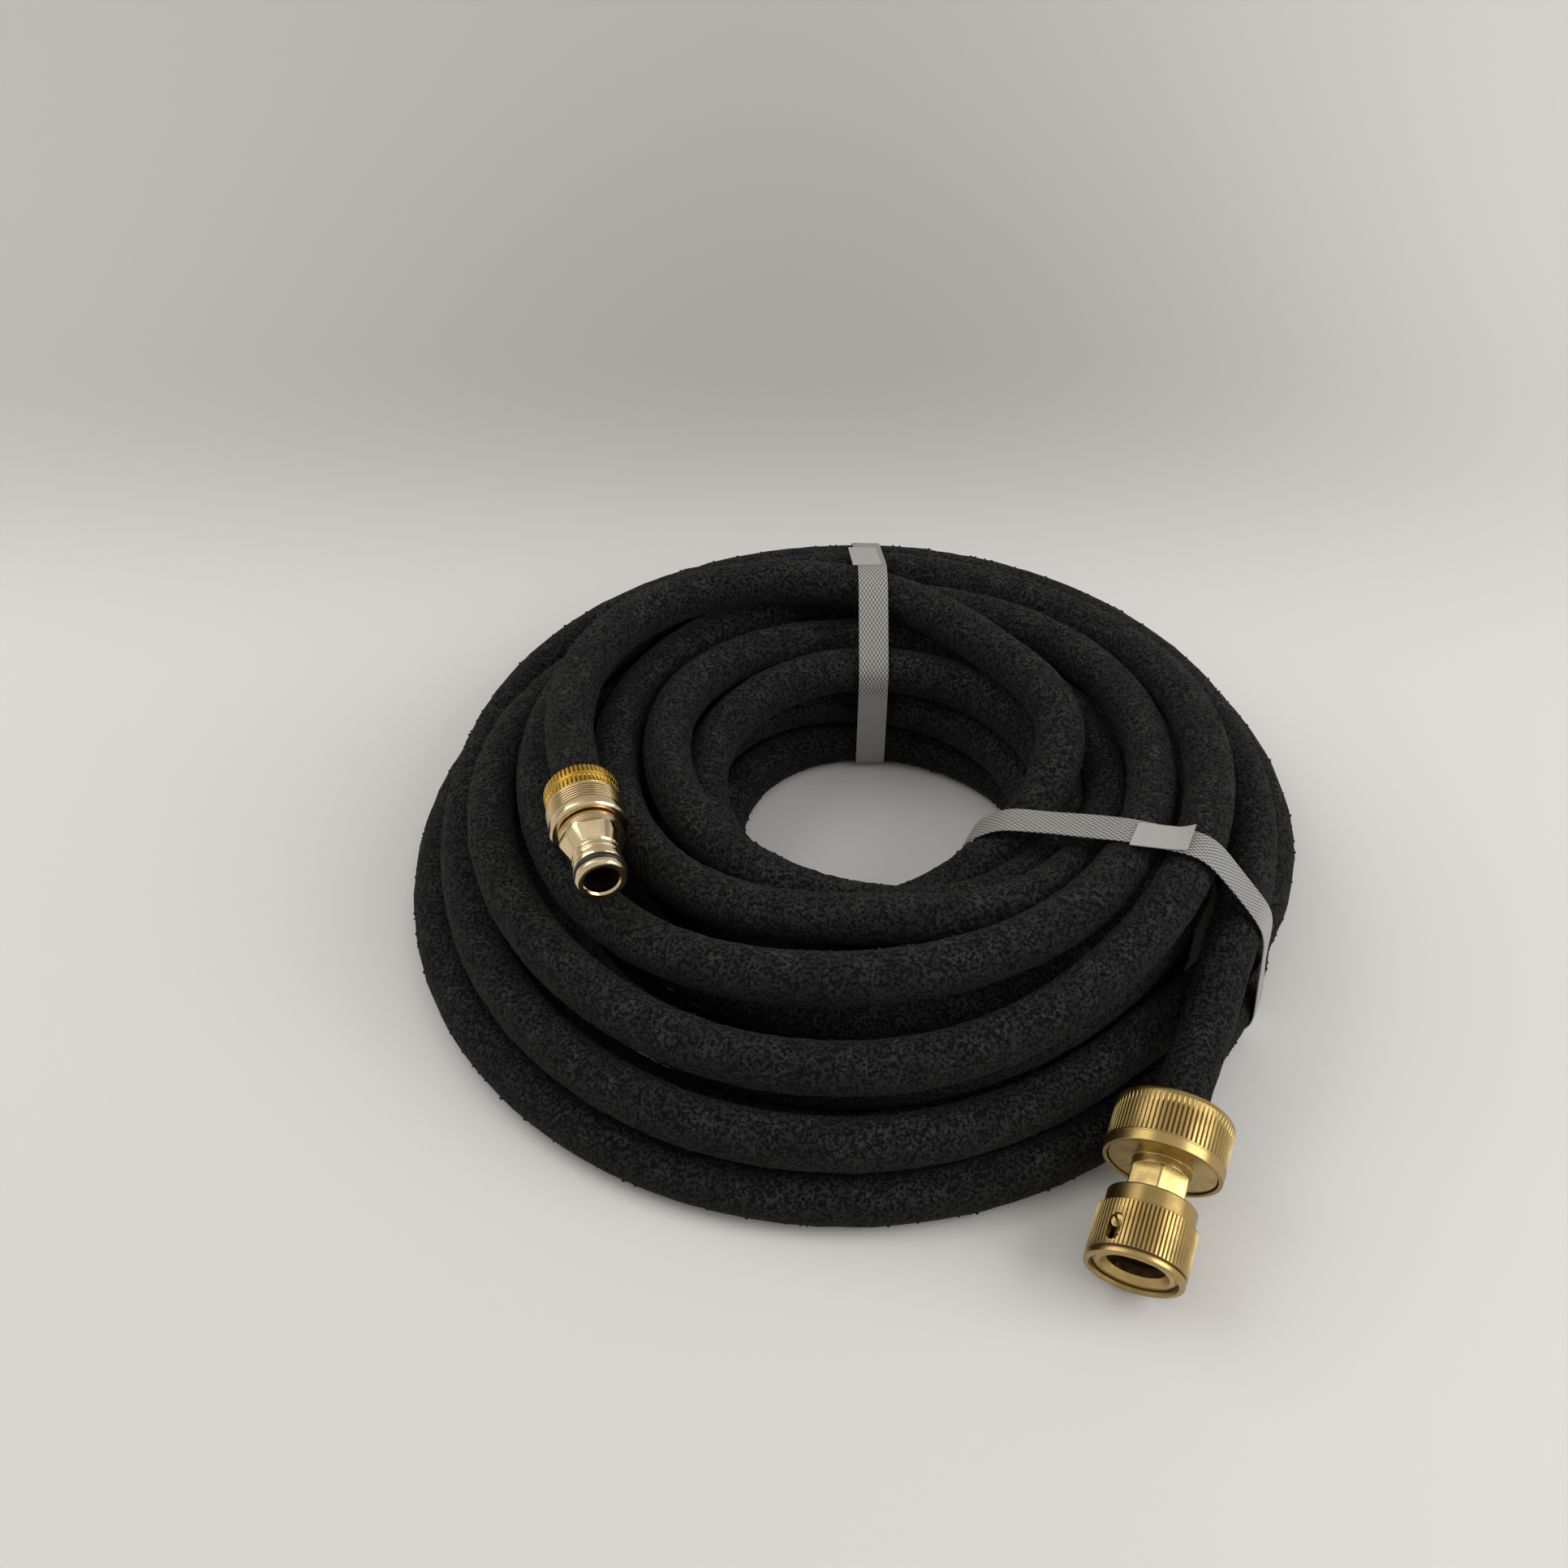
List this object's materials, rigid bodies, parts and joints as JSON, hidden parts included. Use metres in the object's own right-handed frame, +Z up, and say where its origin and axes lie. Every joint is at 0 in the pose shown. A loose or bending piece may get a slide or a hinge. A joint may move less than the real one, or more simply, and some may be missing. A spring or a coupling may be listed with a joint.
{
  "type": "soaker hose",
  "caption": "Coiled porous rubber soaker hose held by woven strap bands, with a brass quick-connect socket on one end and a brass quick-connect plug on the other.",
  "frame": {"origin": "middle of the whole object's footprint, on the floor that the coil lies on", "axes": "+Z up, square to the lying coil; the socket end points to the front (-Y) and right (+X)"},
  "size_m": [0.2978, 0.3228, 0.08],
  "materials": {
    "hose_rubber": "matt, pitted crumb rubber",
    "strap_webbing": "woven translucent polyester tape",
    "female_brass": "satin turned brass",
    "sleeve_brass": "straight knurled, satin brass",
    "female_nut_brass": "straight knurled, satin brass",
    "male_brass": "bright pale turned brass",
    "male_nut_brass": "polished yellow brass",
    "ball_steel": "polished steel",
    "spring_steel": "spring steel",
    "ring_steel": "spring steel",
    "screw_brass": "dull brass",
    "seal_rubber": "smooth black rubber",
    "o_ring_rubber": "smooth black rubber",
    "clamp_brass": "plain turned brass",
    "slip_plastic": "plain white plastic"
  },
  "bodies": {
    "hose": {"soaker_hose": "hose_rubber", "strap_back": "strap_webbing", "strap_right": "strap_webbing", "female_connector_body": "female_brass", "male_connector_body": "male_brass", "socket_seal": "seal_rubber", "retaining_ring": "ring_steel", "guide_screw": "screw_brass", "sleeve_spring": "spring_steel", "male_o_ring": "o_ring_rubber"},
    "sleeve": {"release_sleeve": "sleeve_brass"},
    "female_clamp": {"female_clamp_ring": "clamp_brass", "female_slip_ring": "slip_plastic"},
    "female_nut": {"female_compression_nut": "female_nut_brass"},
    "male_clamp": {"male_clamp_ring": "clamp_brass", "male_slip_ring": "slip_plastic"},
    "male_nut": {"male_compression_nut": "male_nut_brass"},
    "ball_1": {"locking_ball_1": "ball_steel"},
    "ball_2": {"locking_ball_2": "ball_steel"},
    "ball_3": {"locking_ball_3": "ball_steel"},
    "ball_4": {"locking_ball_4": "ball_steel"}
  },
  "joints": [
    {"name": "sleeve_slide", "type": "slide", "parent": "hose", "child": "sleeve", "axis": [0.3541, 0.9062, 0.2311], "range_m": [0, 0.0036], "stiffness_N_per_m": 2000, "springref_m": -0.004, "deforming": ["sleeve_spring"]},
    {"name": "female_clamp_slide", "type": "slide", "parent": "hose", "child": "female_clamp", "axis": [0.3541, 0.9062, 0.2311], "range_m": [0, 0.00605]},
    {"name": "female_nut_turn", "type": "hinge", "parent": "female_clamp", "child": "female_nut", "pos_m": [0.08515, -0.11951, 0.02474], "axis": [0.3541, 0.9062, 0.2311], "range_deg": [0, 1080]},
    {"name": "male_clamp_slide", "type": "slide", "parent": "hose", "child": "male_clamp", "axis": [-0.2453, 0.9694, -0.0122], "range_m": [0, 0.0031]},
    {"name": "male_nut_turn", "type": "hinge", "parent": "male_clamp", "child": "male_nut", "pos_m": [-0.08503, -0.02263, 0.06784], "axis": [-0.2453, 0.9694, -0.0122], "range_deg": [0, 720]},
    {"name": "ball_1_slide", "type": "slide", "parent": "hose", "child": "ball_1", "axis": [0.0789, -0.2751, 0.9582], "range_m": [0, 0.00101]},
    {"name": "ball_2_slide", "type": "slide", "parent": "hose", "child": "ball_2", "axis": [0.9319, -0.321, -0.1689], "range_m": [0, 0.00101]},
    {"name": "ball_3_slide", "type": "slide", "parent": "hose", "child": "ball_3", "axis": [-0.0789, 0.2751, -0.9582], "range_m": [0, 0.00101]},
    {"name": "ball_4_slide", "type": "slide", "parent": "hose", "child": "ball_4", "axis": [-0.9319, 0.321, 0.1689], "range_m": [0, 0.00101]}
  ],
  "couplings": [
    {"joint": "female_clamp_slide", "follows": "female_nut_turn", "m_per_rad": 0.00031831},
    {"joint": "male_clamp_slide", "follows": "male_nut_turn", "m_per_rad": 0.00023873},
    {"joint": "ball_1_slide", "follows": "sleeve_slide", "ratio": 0.27778},
    {"joint": "ball_2_slide", "follows": "sleeve_slide", "ratio": 0.27778},
    {"joint": "ball_3_slide", "follows": "sleeve_slide", "ratio": 0.27778},
    {"joint": "ball_4_slide", "follows": "sleeve_slide", "ratio": 0.27778}
  ]
}
